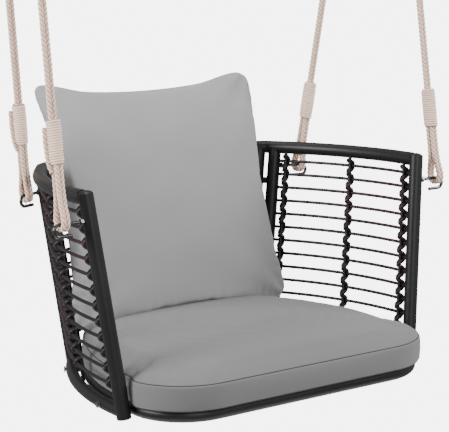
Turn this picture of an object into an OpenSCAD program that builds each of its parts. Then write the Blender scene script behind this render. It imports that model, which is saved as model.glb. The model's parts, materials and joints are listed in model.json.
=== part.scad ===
// Hanging porch swing seat: bent tube panels with laced rungs, a cushioned ring seat
// and four doubled ropes. Lengths are in millimetres, +Z is up and the seat faces -Y.
// The origin is the middle of the four points that the ropes hang from.

/* [Overall] */
// height of the rope pivots above the lowest point of the posts
hang_height = 770; // [650:5:1200]
// gap left between neighbouring pieces
fit_gap = 0.3; // [0.3:0.05:1]

/* [Panel tubes] */
// outside diameter of posts, top rails and base ring
tube_d = 25; // [19:0.5:32]
// outside diameter of the bottom rails
bottom_rail_d = 22; // [16:0.5:28]
// height of the top rail's axis
rail_top_z = 372; // [300:1:450]
// height of the base ring's and bottom rails' axis
ring_z = 12.5; // [12:0.5:30]
// half width between the front posts at the foot
post_x = 311; // [250:1:380]
// front posts' distance ahead of the datum plane at the foot
post_y = 160; // [100:1:220]
// outward lean of a front post over its height
lean_x = 41; // [0:1:80]
// backward lean of a front post over its height
lean_y = 30; // [0:1:80]
// straight distance between a side panel's posts at the foot
panel_foot = 356; // [300:1:420]
// straight distance between a side panel's posts at the top rail
panel_top = 337; // [280:1:400]
// direction from front post to rear post, turned inwards from straight back
side_direction = 15.2; // [8:0.1:24]
// angle that a side panel bends through
side_sweep = 37; // [20:0.5:50]
// distance between the axes of two neighbouring rear posts
corner_gap = 32; // [30:0.5:45]
// extra heading of the line from a side panel's rear post to the back panel's post
corner_extra = 8; // [4:0.5:14]
// angle between the back panel's end and straight across
back_angle = 35; // [20:0.5:45]
// height of the dome on each front post
cap_h = 5; // [2:0.5:12]

/* [Base ring] */
// distance from the panels' foot line to the ring's axis
ring_inset = 30; // [26:0.5:40]
// front bar's distance ahead of the datum plane
ring_front = 252; // [220:1:300]
// bend radius of the ring's front corners
ring_corner_r = 97; // [60:1:120]
// bend radius of the ring's rear corners
ring_rear_r = 60; // [40:1:90]
// diameter of the seat bearers under the cushion
bearer_d = 16; // [10:1:22]
// distance of the inner bearers from the middle
bearer_in = 60; // [40:1:90]
// distance of the outer bearers from the middle
bearer_out = 160; // [110:1:180]

/* [Rungs and lacing] */
// diameter of the rungs
rung_d = 6; // [4:0.5:10]
// number of rungs in a panel
rung_count = 12; // [6:1:14]
// height of the top rung
rung_top_z = 345; // [250:1:400]
// distance between rungs
rung_pitch = 26.3; // [18:0.1:40]
// diameter of the upright rods that the lacing binds to the rungs
rod_d = 6; // [4:0.5:10]
// diameter of a lacing strand
strand_d = 3; // [2:0.1:4]
// front upright's angle round the side panel's bend
upright_front = 3; // [2.6:0.1:8]
// middle upright's angle round the side panel's bend
upright_mid = 18.2; // [12:0.1:26]
// rear upright's angle round the side panel's bend
upright_rear = 34; // [28:0.1:34.4]
// outer back uprights' angle from the middle of the back panel
upright_back = 24; // [12:0.5:30]

/* [Cushions] */
// cushion's reach beyond the ring's axis
cushion_over = 7.5; // [0:0.5:9]
// height of the seat cushion's side
cushion_side = 42; // [30:1:60]
// rise of the seat cushion's top in the middle
cushion_crown = 24; // [5:1:40]
// width and height of the back pillow, measured at its corners
pillow_size = 484; // [400:1:540]
// thickness of the back pillow in the middle
pillow_thick = 110; // [60:1:120]
// thickness of the back pillow's edge
pillow_edge = 14; // [8:1:30]
// depth of the pull-in along each edge of the pillow
pillow_waist = 16; // [0:1:30]
// lean of the back pillow
pillow_lean = 14.3; // [5:0.1:20]
// forward bend of the pillow's sides where they lean on the curved back
pillow_wrap = 10; // [0:1:20]
// backward fold of the pillow's top beyond the back's rail
pillow_fold = 36; // [0:1:50]
// middle of the pillow's foot behind the datum plane
pillow_foot_y = 140.2; // [110:0.1:170]
// depth of the pillow's foot below the highest point of the seat cushion
pillow_sink = 17.7; // [5:0.1:25]

/* [Hooks and bolts] */
// wire diameter of the seat hooks
hook_wire = 6; // [5:0.5:8]
// bend radius of the seat hooks, to the wire's axis
hook_r = 10; // [9:0.5:16]
// distance from a seat hook's rope to the axis of its post
hook_reach = 51; // [40:1:70]
// height of the front seat hooks
hook_front_z = 334; // [250:1:360]
// height of the rear seat hooks
hook_rear_z = 335; // [250:1:360]
// turn of the rear seat hooks towards the front
hook_rear_turn = 22; // [0:1:40]
// length of the return arm of a seat hook
hook_arm = 22; // [8:1:30]
// width across flats of the nuts
nut_width = 10; // [8:0.5:14]
// thickness of the nuts
nut_t = 5; // [3:0.5:8]
// shank diameter of the frame bolts
bolt_d = 6; // [5:0.5:8]
// diameter of a frame bolt's head
bolt_head_d = 11; // [9:0.5:14]
// height of a frame bolt's head
bolt_head_h = 3.4; // [2:0.1:5]
// outside diameter of the spacers
spacer_d = 13; // [10:0.5:16]
// heading of the side panel at the front ring bolt
bolt_front = 3; // [2:0.5:10]
// heading of the side panel at the rear ring bolt
bolt_rear = 27; // [20:0.5:28]
// angle of the back ring bolts from the middle of the back panel
bolt_back = 18; // [8:1:22]
// height of the upper spacers between the rear posts
spacer_top_z = 305.5; // [200:1:340]
// height of the lower spacers between the rear posts
spacer_low_z = 69; // [50:1:150]

/* [Hangers] */
// diameter round the two legs of a doubled rope
rope_d = 13; // [10:0.5:16]
// diameter of one rope leg
leg_d = 8; // [6:0.5:9]
// sideways slope of the front ropes, inwards per unit of height
rope_front_in = 0.013; // [0:0.001:0.2]
// backward slope of the front ropes per unit of height
rope_front_back = 0.139; // [0:0.001:0.3]
// sideways slope of the rear ropes, outwards per unit of height
rope_rear_out = 0.106; // [0:0.001:0.2]
// forward slope of the rear ropes per unit of height
rope_rear_fwd = 0.117; // [0:0.001:0.3]
// length of a lower eye, from the hook to the whipping
eye_len = 95; // [60:1:140]
// half distance between the legs of an eye
eye_r = 13; // [12:0.5:20]
// length of a lower whipping
whip_len = 72; // [40:1:100]
// width of a whipping across its legs
whip_w = 28; // [24:0.5:34]
// thickness of a whipping
whip_t = 21; // [18:0.5:26]
// length of an upper eye
top_eye_len = 42; // [34:1:60]
// length of an upper whipping
top_whip_len = 28; // [16:1:50]
// wire diameter of the ceiling hooks
ceiling_wire = 8; // [6:0.5:12]
// bend radius of the ceiling hooks, to the wire's axis
ceiling_r = 20; // [18:0.5:30]
// length of the ceiling hooks' threaded shanks
ceiling_shank = 45; // [25:1:80]
// diameter of the ceiling hooks' collars
collar_d = 20; // [14:1:30]
// thickness of the ceiling hooks' collars
collar_t = 4; // [3:0.5:8]

/* [Hidden] */
$fn = 64;
tube_r = tube_d / 2;
rail_low_r = bottom_rail_d / 2;
rung_r = rung_d / 2;
rod_r = rod_d / 2;
strand_r = strand_d / 2;
foot_to_rail = rail_top_z;
deg = 180 / PI;
eps = 0.05;
bend_facets = 240;
crown_reach = 330;
nut_seat = 1;
cap_step = 0.4;
seam_gap = 0.4;
bead_len = 5;
bead_rise = 0.4;
crown_r = (pow(crown_reach, 2) + pow(cushion_crown, 2)) / (2 * cushion_crown);
cushion_base = ring_z + tube_r + bead_rise + fit_gap;
cushion_top = cushion_base + cushion_side + cushion_crown;
pillow_cells = 10;
pillow_fold_at = 0.3;
// a pillow wider than the room between the back's posts stands further forward, and so higher on the crown
pillow_room = 484;
pillow_excess = (pillow_size - pillow_room) / 2;
pillow_forward = pillow_excess * (0.6 + 0.03 * pillow_excess);
pillow_climb = 0.06;
pillow_foot_z = cushion_top - pillow_sink + pillow_climb * pillow_forward
    + (pow(pillow_room, 2) - pow(pillow_size, 2)) / (8 * crown_r);
post_foot = 1.2;
front_post_top = rail_top_z + tube_r - cap_h;
bolt_bore_r = bolt_d / 2 + fit_gap;
hook_bend_at = 5;
eye_slack = 1;
rear_eye_slack = 3;
top_eye_slack = 1.8;
rear_top_eye_slack = 2.6;
eye_waist_at = 45;
eye_waist_share = 0.8;
eye_waist = 6;
eye_neck = 5;
strand_press = 1;
leg_slant = 0.8;
rope_sides = 10;

// plan directions: heading 0 is straight back (+Y), growing inwards on the right-hand side
function along(h) = [-sin(h), cos(h)];
function outward(h) = [cos(h), sin(h)];
function mix(a, b, f) = a + (b - a) * f;
function lift(p, z) = [p[0], p[1], z];

// front and rear post lines of the right-hand side panel
function front_at(z) = [post_x + lean_x * z / foot_to_rail, lean_y * z / foot_to_rail - post_y];
function side_chord(z) = mix(panel_foot, panel_top, z / foot_to_rail);
function rear_at(z) = front_at(z) + along(side_direction) * side_chord(z);

// each level of a side panel is one bend from post to post
side_start = side_direction - side_sweep / 2;
side_end = side_direction + side_sweep / 2;
function side_bend(z) = side_chord(z) / (2 * sin(side_sweep / 2));
function side_centre(z) = front_at(z) - outward(side_start) * side_bend(z);
function side_at(z, h) = side_centre(z) + outward(h) * side_bend(z);

// back panel posts and arcs
corner_heading = side_end + corner_extra;
function back_at(z) = rear_at(z) + along(corner_heading) * corner_gap;
function back_bend(z) = back_at(z)[0] / sin(back_angle);
function back_centre(z) = [0, back_at(z)[1] - back_bend(z) * cos(back_angle)];
function back_point(z, a) = back_centre(z) + [sin(a), cos(a)] * back_bend(z);

// base ring, parallel to the panels' foot line
ring_side_c = side_centre(ring_z);
ring_side_r = side_bend(ring_z) - ring_inset;
ring_x = ring_side_c[0] + ring_side_r;
ring_back_c = back_centre(ring_z);
ring_back_r = back_bend(ring_z) - ring_inset;
corner_a = ring_side_r - ring_rear_r;
corner_b = ring_back_r - ring_rear_r;
centre_span = norm(ring_back_c - ring_side_c);
centre_turn = atan2(ring_back_c[1] - ring_side_c[1], ring_back_c[0] - ring_side_c[0]);
corner_turn = centre_turn + acos((pow(corner_a, 2) + pow(centre_span, 2) - pow(corner_b, 2)) / (2 * corner_a * centre_span));
ring_corner_c = ring_side_c + outward(corner_turn) * corner_a;
corner_turn_end = atan2(ring_corner_c[1] - ring_back_c[1], ring_corner_c[0] - ring_back_c[0]);

// heights of the rungs
rung_z = [for (k = [0:rung_count - 1]) rung_top_z - k * rung_pitch];

// seats of the hooks
hook_front_axis = front_at(hook_front_z);
hook_rear_axis = rear_at(hook_rear_z);
hook_front = lift(hook_front_axis + [hook_reach, 0], hook_front_z);
hook_rear = lift(hook_rear_axis + [cos(hook_rear_turn), -sin(hook_rear_turn)] * hook_reach, hook_rear_z);
top_front = hook_front + [-rope_front_in, rope_front_back, 1] * (hang_height - hook_front_z);
top_rear = hook_rear + [rope_rear_out, -rope_rear_fwd, 1] * (hang_height - hook_rear_z);
datum_shift = (top_front[1] + top_rear[1]) / 2;

// one lacing strand: share of the pitch, offset along the panel, offset outwards
lace_steps = [[0, 0, 5.3], [0.17, 4.4, 3.3], [0.38, 5, -9.2], [0.5, 0, -12.1], [0.62, -5, -9.2], [0.83, -4.4, 3.3]];
lace_rise = 3.4;
lace_sides = 5;
lace_steps_n = len(lace_steps);

// routes of the ropes between their whippings
front_route = [[396.6, -135.7, -269.5], [396.2, -131, -236], [395.7, -126.5, -203], [395.3, -121.9, -170],
    [394.9, -117.3, -137], [394.4, -112.7, -104], [394, -108, -70.5]];
rear_route = [[323.4, 129.7, -269], [326.9, 125.8, -236], [330.4, 122, -203], [333.9, 118.1, -170],
    [337.4, 114.2, -137], [340.9, 110.4, -104], [344.5, 106.4, -70.5]];

// ---- shared shapes ----

module in_frame() {
    translate([0, -datum_shift, -hang_height])
        children();
}

module on_left() {
    mirror([1, 0, 0])
        children();
}

module on_both() {
    children();
    on_left()
        children();
}

module point_at(p, q) {
    d = q - p;
    translate(p)
        rotate([0, acos(d[2] / norm(d)), atan2(d[1], d[0])])
            children();
}

module bar(p, q, r) {
    point_at(p, q)
        cylinder(h = norm(q - p), r = r);
}

module bend(c, z, bend_r, h0, h1, r) {
    translate(lift(c, z))
        rotate([0, 0, h0])
            rotate_extrude(angle = h1 - h0, $fn = bend_facets)
                translate([bend_r, 0])
                    circle(r = r, $fn = 48);
}

module stadium(w, t) {
    square([w - t, t], center = true);
    for (s = [-1, 1])
        translate([s * (w - t) / 2, 0])
            circle(d = t);
}

// ---- side panel, right-hand ----

module side_level(z, r, over = 0) {
    bend(side_centre(z), z, side_bend(z), side_start, side_end + over / side_bend(z) * deg, r);
}

module front_post_line(r, over = 0) {
    top_z = front_post_top + over;
    bar(lift(front_at(post_foot), post_foot), lift(front_at(top_z), top_z), r);
}

module rear_post_line(r) {
    bar(lift(rear_at(post_foot), post_foot), lift(rear_at(rail_top_z), rail_top_z), r);
}

module side_posts(r) {
    front_post_line(r);
    rear_post_line(r);
}

module top_rail(r) {
    side_level(rail_top_z, r, corner_gap);
}

// block beyond the mitre where a side rail meets the back rail, side 1 behind it and -1 ahead of it
module mitre_block(side) {
    size = 4 * tube_d;
    translate(lift(rear_at(rail_top_z) + along(corner_heading) * corner_gap / 2, rail_top_z))
        rotate([0, 0, corner_heading])
            translate([-size / 2, side > 0 ? -fit_gap / 2 : fit_gap / 2 - size, -size / 2])
                cube(size);
}

module hook_bore(axis, z, turn) {
    translate(lift(axis, z))
        rotate([0, 90, -turn])
            cylinder(h = tube_d, r = hook_wire / 2 + fit_gap);
}

module front_post() {
    top = lift(front_at(front_post_top), front_post_top);
    dome_r = (pow(tube_r, 2) + pow(cap_h, 2)) / (2 * cap_h);
    difference() {
        union() {
            front_post_line(tube_r);
            point_at(top, top + [lean_x, lean_y, foot_to_rail])
                intersection() {
                    translate([0, 0, -cap_h])
                        cylinder(h = 2 * cap_h, r = tube_r - cap_step);
                    translate([0, 0, cap_h - dome_r])
                        sphere(r = dome_r, $fn = 96);
                }
        }
        hook_bore(hook_front_axis, hook_front_z, 0);
    }
}

module rear_post() {
    difference() {
        rear_post_line(tube_r);
        top_rail(tube_r + fit_gap);
        hook_bore(hook_rear_axis, hook_rear_z, hook_rear_turn);
        corner_bolt_lines(bolt_bore_r);
    }
}

module top_rail_side() {
    difference() {
        top_rail(tube_r);
        front_post_line(tube_r + fit_gap, tube_d);
        mitre_block(1);
    }
}

module bottom_rail_side() {
    difference() {
        side_level(ring_z, rail_low_r);
        side_posts(tube_r + fit_gap);
        side_bolt_lines(bolt_bore_r);
    }
}

module rungs_side() {
    difference() {
        for (z = rung_z)
            side_level(z, rung_r);
        side_posts(tube_r + fit_gap);
    }
}

// upright stations: 0 front, 1 middle, 2 rear
side_turns = [side_start + upright_front, side_start + upright_mid, side_start + upright_rear];
function station(i, z) = side_at(z, side_turns[i]);

function rod_point(p, out, z) = lift(p - out * (rung_r + rod_r + fit_gap), z);

module uprights_side() {
    difference() {
        for (i = [0:2])
            bar(rod_point(station(i, ring_z), outward(side_turns[i]), ring_z),
                rod_point(station(i, rail_top_z), outward(side_turns[i]), rail_top_z), rod_r);
        top_rail(tube_r + fit_gap);
        side_level(ring_z, rail_low_r + fit_gap);
    }
}

// ---- lacing: two strands of opposite hand wind round each rod and cross over each rung ----

function lace_step(k) = lace_steps[(k + lace_steps_n / 2) % lace_steps_n];
function lace_drop(k) = floor((k + lace_steps_n / 2) / lace_steps_n) + lace_step(k)[0];
function lace_z(k) = rung_top_z + rung_pitch * (1 - lace_drop(k));
function over_under(k, hand) = lace_step(k)[1] != 0 || hand > 0 ? 0 : lace_step(k)[2] > 0 ? lace_rise : -lace_rise;

module strand(points) {
    n = len(points);
    rings = [for (i = [0:n - 1])
        let (
            d = points[min(i + 1, n - 1)] - points[max(i - 1, 0)],
            u = cross(d, [0, 0, 1]) / norm(cross(d, [0, 0, 1])),
            v = cross(d, u) / norm(d)
        )
        for (j = [0:lace_sides - 1])
            points[i] + (u * cos(j * 360 / lace_sides) + v * sin(j * 360 / lace_sides)) * strand_r];
    walls = [for (i = [0:n - 2])
        for (j = [0:lace_sides - 1])
            let (a = i * lace_sides + j, b = i * lace_sides + (j + 1) % lace_sides)
            each [[a, a + lace_sides, b + lace_sides], [a, b + lace_sides, b]]];
    first = [for (j = [0:lace_sides - 1]) j];
    last = [for (j = [0:lace_sides - 1]) n * lace_sides - 1 - j];
    polyhedron(points = rings, faces = concat(walls, [first, last]));
}

module lace_pair(stations, dir, out) {
    for (hand = [-1, 1])
        strand([for (k = [0:lace_steps_n * rung_count])
            let (z = lace_z(k), s = lace_step(k))
            lift(mix(stations[0], stations[1], (z - ring_z) / (rail_top_z - ring_z))
                + dir * s[1] * hand + out * (s[2] + over_under(k, hand)), z)]);
}

module lacing_side() {
    for (i = [0:2])
        lace_pair([station(i, ring_z), station(i, rail_top_z)], along(side_turns[i]), outward(side_turns[i]));
}

// ---- back panel ----

module back_arc(z, r) {
    bend(back_centre(z), z, back_bend(z), 90 - back_angle, 90 + back_angle, r);
}

module back_post_line(r) {
    bar(lift(back_at(post_foot), post_foot), lift(back_at(rail_top_z), rail_top_z), r);
}

module back_rail(r) {
    over = corner_gap / back_bend(rail_top_z) * deg;
    bend(back_centre(rail_top_z), rail_top_z, back_bend(rail_top_z), 90 - back_angle - over, 90 + back_angle + over, r);
}

module back_top() {
    difference() {
        back_rail(tube_r);
        on_both()
            mitre_block(-1);
    }
}

module back_post() {
    difference() {
        back_post_line(tube_r);
        back_rail(tube_r + fit_gap);
        corner_bolt_lines(bolt_bore_r);
    }
}

module back_bottom() {
    difference() {
        back_arc(ring_z, rail_low_r);
        on_both()
            back_post_line(tube_r + fit_gap);
        back_bolt_lines(bolt_bore_r);
    }
}

module back_rungs_all() {
    difference() {
        for (z = rung_z)
            back_arc(z, rung_r);
        on_both()
            back_post_line(tube_r + fit_gap);
    }
}

back_turns = [-upright_back, 0, upright_back];
function back_out(a) = [sin(a), cos(a)];

module back_uprights_all() {
    difference() {
        for (a = back_turns)
            bar(rod_point(back_point(ring_z, a), back_out(a), ring_z),
                rod_point(back_point(rail_top_z, a), back_out(a), rail_top_z), rod_r);
        back_arc(rail_top_z, tube_r + fit_gap);
        back_arc(ring_z, rail_low_r + fit_gap);
    }
}

module back_lacing_all() {
    for (a = back_turns)
        lace_pair([back_point(ring_z, a), back_point(rail_top_z, a)], [-cos(a), sin(a)], back_out(a));
}

// ---- base ring, bearers and the bolts that join ring and panels ----

ring_corner_x = ring_x - ring_corner_r;
ring_corner_y = ring_corner_r - ring_front;

module ring_front_bar(r) {
    bar([-ring_corner_x, -ring_front, ring_z], [ring_corner_x, -ring_front, ring_z], r);
}

module ring_arc(c, bend_r, h0, h1, r) {
    trim = seam_gap / 2 / bend_r * deg;
    bend(c, ring_z, bend_r, h0 + trim, h1 - trim, r);
}

module ring_side(r) {
    ring_arc(ring_side_c, ring_side_r, 0, corner_turn, r);
}

module ring_back(r) {
    ring_arc(ring_back_c, ring_back_r, corner_turn_end, 180 - corner_turn_end, r);
}

// weld bead round a seam of the ring
module bead(c, bend_r, h) {
    translate(lift(c + outward(h) * bend_r, ring_z))
        rotate([90, 0, h])
            cylinder(h = bead_len, r = tube_r + bead_rise, center = true);
}

module ring_all() {
    ring_front_bar(tube_r);
    on_both() {
        bend([ring_corner_x, ring_corner_y], ring_z, ring_corner_r, -90, 0, tube_r);
        bar([ring_x, ring_corner_y, ring_z], [ring_x, ring_side_c[1] - seam_gap / 2, ring_z], tube_r);
        bead(ring_side_c, ring_side_r, 0);
        ring_side(tube_r);
        bead(ring_side_c, ring_side_r, corner_turn);
        ring_arc(ring_corner_c, ring_rear_r, corner_turn, corner_turn_end, tube_r);
        bead(ring_back_c, ring_back_r, corner_turn_end);
    }
    ring_back(tube_r);
}

module bearers() {
    z = ring_z + tube_r - bearer_d / 2;
    difference() {
        for (x = [-bearer_out, -bearer_in, bearer_in, bearer_out])
            bar([x, -ring_front, z], [x, ring_back_c[1] + sqrt(pow(ring_back_r, 2) - x * x), z], bearer_d / 2);
        ring_front_bar(tube_r + fit_gap);
        ring_back(tube_r + fit_gap);
    }
}

// a joint between bottom rail and ring: rail point, outward direction and distance to the ring's axis
side_joints = [for (h = [bolt_front, bolt_rear]) [side_at(ring_z, h), outward(h), ring_inset]];
back_joints = [for (a = [-bolt_back, bolt_back]) [back_point(ring_z, a), back_out(a), ring_inset]];

module joint_line(j, from, to, r) {
    bar(lift(j[0] + j[1] * to, ring_z), lift(j[0] + j[1] * from, ring_z), r);
}

module side_bolt_lines(r) {
    for (j = side_joints)
        joint_line(j, rail_low_r + fit_gap + bolt_head_h, -j[2], r);
}

module back_bolt_lines(r) {
    for (j = back_joints)
        joint_line(j, rail_low_r + fit_gap + bolt_head_h, -j[2], r);
}

module ring_bolt(j) {
    joint_line(j, rail_low_r + fit_gap + bolt_head_h / 2, fit_gap - j[2], bolt_d / 2);
    joint_line(j, rail_low_r + fit_gap + bolt_head_h, rail_low_r + fit_gap, bolt_head_d / 2);
}

module ring_bolts() {
    on_both()
        for (j = side_joints)
            ring_bolt(j);
    for (j = back_joints)
        ring_bolt(j);
}

module ring_spacer(j) {
    joint_line(j, 0, -j[2], spacer_d / 2);
}

// ---- bolts and spacers between the neighbouring rear posts ----

corner_levels = [spacer_low_z, spacer_top_z];
function corner_point(z, s) = lift(rear_at(z) + along(corner_heading) * s, z);
corner_head_at = corner_gap + tube_r + fit_gap;

module corner_bolt_lines(r) {
    for (z = corner_levels)
        bar(corner_point(z, 0), corner_point(z, corner_head_at + bolt_head_h), r);
}

module corner_bolt(z) {
    bar(corner_point(z, fit_gap), corner_point(z, corner_head_at + bolt_head_h / 2), bolt_d / 2);
    bar(corner_point(z, corner_head_at), corner_point(z, corner_head_at + bolt_head_h), bolt_head_d / 2);
}

// ---- cushions ----

module cushion_outline() {
    x = ring_x + cushion_over;
    front_y = -ring_front - cushion_over;
    side_c = ring_side_c;
    reach = ring_corner_r + cushion_over;
    translate([-x, ring_corner_y])
        square([2 * x, side_c[1] - ring_corner_y]);
    translate([-ring_corner_x, front_y])
        square([2 * ring_corner_x, reach + eps]);
    for (s = [-1, 1])
        translate([s * ring_corner_x, ring_corner_y])
            circle(r = reach);
    intersection() {
        translate([-x, side_c[1] - eps])
            square([2 * x, 2 * x]);
        translate(side_c)
            circle(r = ring_side_r + cushion_over, $fn = 240);
        translate([-side_c[0], side_c[1]])
            circle(r = ring_side_r + cushion_over, $fn = 240);
        translate(ring_back_c)
            circle(r = ring_back_r + cushion_over, $fn = 240);
    }
}

// barrel whose top lies at the crown's height and drops to the side's height at the outline
module cushion() {
    middle_y = (ring_back_c[1] + ring_back_r - ring_front) / 2;
    intersection() {
        translate([0, 0, cushion_base])
            linear_extrude(2 * (cushion_side + cushion_crown))
                cushion_outline();
        translate([0, middle_y, cushion_top - crown_r])
            sphere(r = crown_r, $fn = 360);
    }
}

function pillow_swell(u, v) = (pillow_edge + (pillow_thick - pillow_edge) * (1 - u * u) * (1 - v * v)) / 2;
function pillow_across(u, v) = u * (pillow_size / 2 - pillow_waist * (1 - v * v));
function pillow_set(u, v) =
    pillow_fold * pow(max(0, v - pillow_fold_at) / (1 - pillow_fold_at), 2) - pillow_wrap * u * u;
function pillow_index(side, i, j) = ((side + 1) / 2 * (pillow_cells + 1) + i) * (pillow_cells + 1) + j;

// two swelled sheets, side -1 in front and 1 behind, joined round their edge
module pillow_form() {
    n = pillow_cells;
    sheet = [for (side = [-1, 1])
        for (i = [0:n])
            for (j = [0:n])
                let (u = 2 * i / n - 1, v = 2 * j / n - 1)
                [pillow_across(u, v), side * pillow_swell(u, v) + pillow_set(u, v), pillow_across(v, u)]];
    skin = [for (i = [0:n - 1])
        for (j = [0:n - 1])
            each [
                for (side = [-1, 1])
                    let (
                        a = pillow_index(side, i, j),
                        b = pillow_index(side, i, j + 1),
                        c = pillow_index(side, i + 1, j + 1),
                        d = pillow_index(side, i + 1, j)
                    )
                    each side < 0 ? [[a, b, c], [a, c, d]] : [[a, c, b], [a, d, c]]
            ]];
    rim = [for (k = [0:n - 1])
        for (end = [0, n])
            let (
                f = pillow_index(-1, k, end),
                g = pillow_index(-1, k + 1, end),
                h = pillow_index(1, k + 1, end),
                m = pillow_index(1, k, end),
                p = pillow_index(-1, end, k),
                q = pillow_index(-1, end, k + 1),
                r = pillow_index(1, end, k + 1),
                t = pillow_index(1, end, k)
            )
            each end == 0
                ? [[f, g, h], [f, h, m], [p, r, q], [p, t, r]]
                : [[f, h, g], [f, m, h], [p, q, r], [p, r, t]]];
    polyhedron(points = sheet, faces = concat(skin, rim));
}

module pillow() {
    translate([0, pillow_foot_y - pillow_forward, pillow_foot_z])
        rotate([-pillow_lean, 0, 0])
            translate([0, 0, pillow_size / 2])
                pillow_form();
}

module seat_hook() {
    wire_r = hook_wire / 2;
    rotate([0, 90, 0])
        translate([0, 0, -hook_reach + fit_gap])
            cylinder(h = hook_reach - fit_gap + hook_bend_at, r = wire_r);
    translate([hook_bend_at, 0, -hook_r])
        rotate([90, 0, 0])
            rotate([0, 0, -90])
                rotate_extrude(angle = 180)
                    translate([hook_r, 0])
                        circle(r = wire_r);
    translate([hook_bend_at, 0, -2 * hook_r])
        rotate([0, -90, 0])
            cylinder(h = hook_arm, r = wire_r);
}

module hook_nut() {
    translate([tube_r + nut_seat - hook_reach, 0, 0])
        rotate([0, 90, 0])
            difference() {
                rotate(30)
                    cylinder(h = nut_t, d = nut_width / cos(30), $fn = 6);
                translate([0, 0, -eps])
                    cylinder(h = nut_t + 2 * eps, r = hook_wire / 2 + fit_gap);
            }
}

module at_hook_front() {
    translate(hook_front)
        children();
}

module at_hook_rear() {
    translate(hook_rear)
        rotate([0, 0, -hook_rear_turn])
            children();
}

// ---- hangers, drawn along +Z from the seat hook's rope seat ----

// reach is the distance from the strand's axis, inwards when negative
module eye_outline(seat, length, reach) {
    bow = eye_r + reach;
    waist = eye_waist + reach;
    waist_at = min(eye_waist_at, eye_waist_share * length);
    neck = eye_neck + reach;
    translate([0, seat])
        circle(r = bow, $fn = 96);
    polygon([[eps - bow, seat], [bow - eps, seat], [waist, waist_at], [neck, length], [-neck, length],
        [-waist, waist_at]]);
}

// width taken off the band and depth taken off its faces, for the roundness of the strands
band_steps = [[5, 0], [2.4, 1], [0, 2]];

// a doubled rope lies round the hook as a band two strands wide
module eye(length, wire, slack) {
    seat = eye_r - leg_d / 2 - wire / 2 - slack;
    rotate([90, 0, 90])
        for (step = band_steps)
            linear_extrude(2 * leg_d - strand_press - step[0], center = true)
                difference() {
                    eye_outline(seat, length, leg_d / 2 - step[1]);
                    eye_outline(seat, length + eps, step[1] - leg_d / 2);
                }
}

module whipping(length) {
    linear_extrude(length)
        rotate(90)
            stadium(whip_w, whip_t);
}

module along_hanger(hook, top) {
    point_at(hook, top)
        rotate([0, 0, -atan2((top - hook)[1], (top - hook)[0])])
            children();
}

module eyes(hook, top, slack, top_slack) {
    span = norm(top - hook);
    along_hanger(hook, top) {
        eye(eye_len, hook_wire, slack);
        translate([0, 0, span])
            rotate([180, 0, 0])
                eye(top_eye_len, ceiling_wire, top_slack);
    }
}

module whippings(hook, top) {
    span = norm(top - hook);
    along_hanger(hook, top) {
        translate([0, 0, eye_len + leg_slant])
            whipping(whip_len);
        translate([0, 0, span - top_eye_len - leg_slant - top_whip_len])
            whipping(top_whip_len);
    }
}

// a rope is a plain tube through chosen points, in the part's own frame
module rope(points) {
    n = len(points);
    rings = [for (i = [0:n - 1])
        let (
            d = points[min(i + 1, n - 1)] - points[max(i - 1, 0)],
            u = cross(d, [0, 1, 0]) / norm(cross(d, [0, 1, 0])),
            v = cross(d, u) / norm(d)
        )
        for (j = [0:rope_sides - 1])
            points[i] + (u * cos(j * 360 / rope_sides) + v * sin(j * 360 / rope_sides)) * rope_d / 2];
    walls = [for (i = [0:n - 2])
        for (j = [0:rope_sides - 1])
            let (a = i * rope_sides + j, b = i * rope_sides + (j + 1) % rope_sides)
            each [[a, a + rope_sides, b + rope_sides], [a, b + rope_sides, b]]];
    first = [for (j = [0:rope_sides - 1]) j];
    last = [for (j = [0:rope_sides - 1]) n * rope_sides - 1 - j];
    polyhedron(points = rings, faces = concat(walls, [first, last]));
}

module ceiling_hook() {
    translate([0, 0, ceiling_r])
        rotate([90, 0, 0])
            rotate([0, 0, 90])
                rotate_extrude(angle = 300)
                    translate([ceiling_r, 0])
                        circle(d = ceiling_wire);
    translate([0, 0, 2 * ceiling_r])
        cylinder(h = ceiling_shank, d = ceiling_wire);
    translate([0, 0, 2 * ceiling_r + ceiling_wire])
        cylinder(h = collar_t, d = collar_d);
}

// ---- placed nodes ----

module corner_spacers() {
    difference() {
        for (z = corner_levels)
            bar(corner_point(z, 0), corner_point(z, corner_gap), spacer_d / 2);
        rear_post_line(tube_r + fit_gap);
        back_post_line(tube_r + fit_gap);
        corner_bolt_lines(bolt_bore_r);
    }
}

module ring_spacers() {
    difference() {
        union() {
            on_both()
                for (j = side_joints)
                    ring_spacer(j);
            for (j = back_joints)
                ring_spacer(j);
        }
        on_both() {
            ring_side(tube_r + fit_gap);
            side_level(ring_z, rail_low_r + fit_gap);
        }
        ring_back(tube_r + fit_gap);
        back_arc(ring_z, rail_low_r + fit_gap);
        on_both()
            side_bolt_lines(bolt_bore_r);
        back_bolt_lines(bolt_bore_r);
    }
}

module base_ring() {
    difference() {
        ring_all();
        on_both()
            side_bolt_lines(bolt_bore_r);
        back_bolt_lines(bolt_bore_r);
    }
}

steel = [0.09, 0.09, 0.1];
rattan = [0.12, 0.11, 0.11];
bright = [0.6, 0.6, 0.62];
cotton = [0.84, 0.78, 0.72];
canvas = [0.56, 0.56, 0.56];

module base_ring_node() {
    color(steel)
        in_frame()
            base_ring();
}

module seat_bearers_node() {
    color(steel)
        in_frame()
            bearers();
}

module front_post_left_node() {
    color(steel)
        in_frame()
            on_left()
                front_post();
}

module front_post_right_node() {
    color(steel)
        in_frame()
            front_post();
}

module rear_post_left_node() {
    color(steel)
        in_frame()
            on_left()
                rear_post();
}

module rear_post_right_node() {
    color(steel)
        in_frame()
            rear_post();
}

module top_rail_left_node() {
    color(steel)
        in_frame()
            on_left()
                top_rail_side();
}

module top_rail_right_node() {
    color(steel)
        in_frame()
            top_rail_side();
}

module bottom_rail_left_node() {
    color(steel)
        in_frame()
            on_left()
                bottom_rail_side();
}

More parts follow.
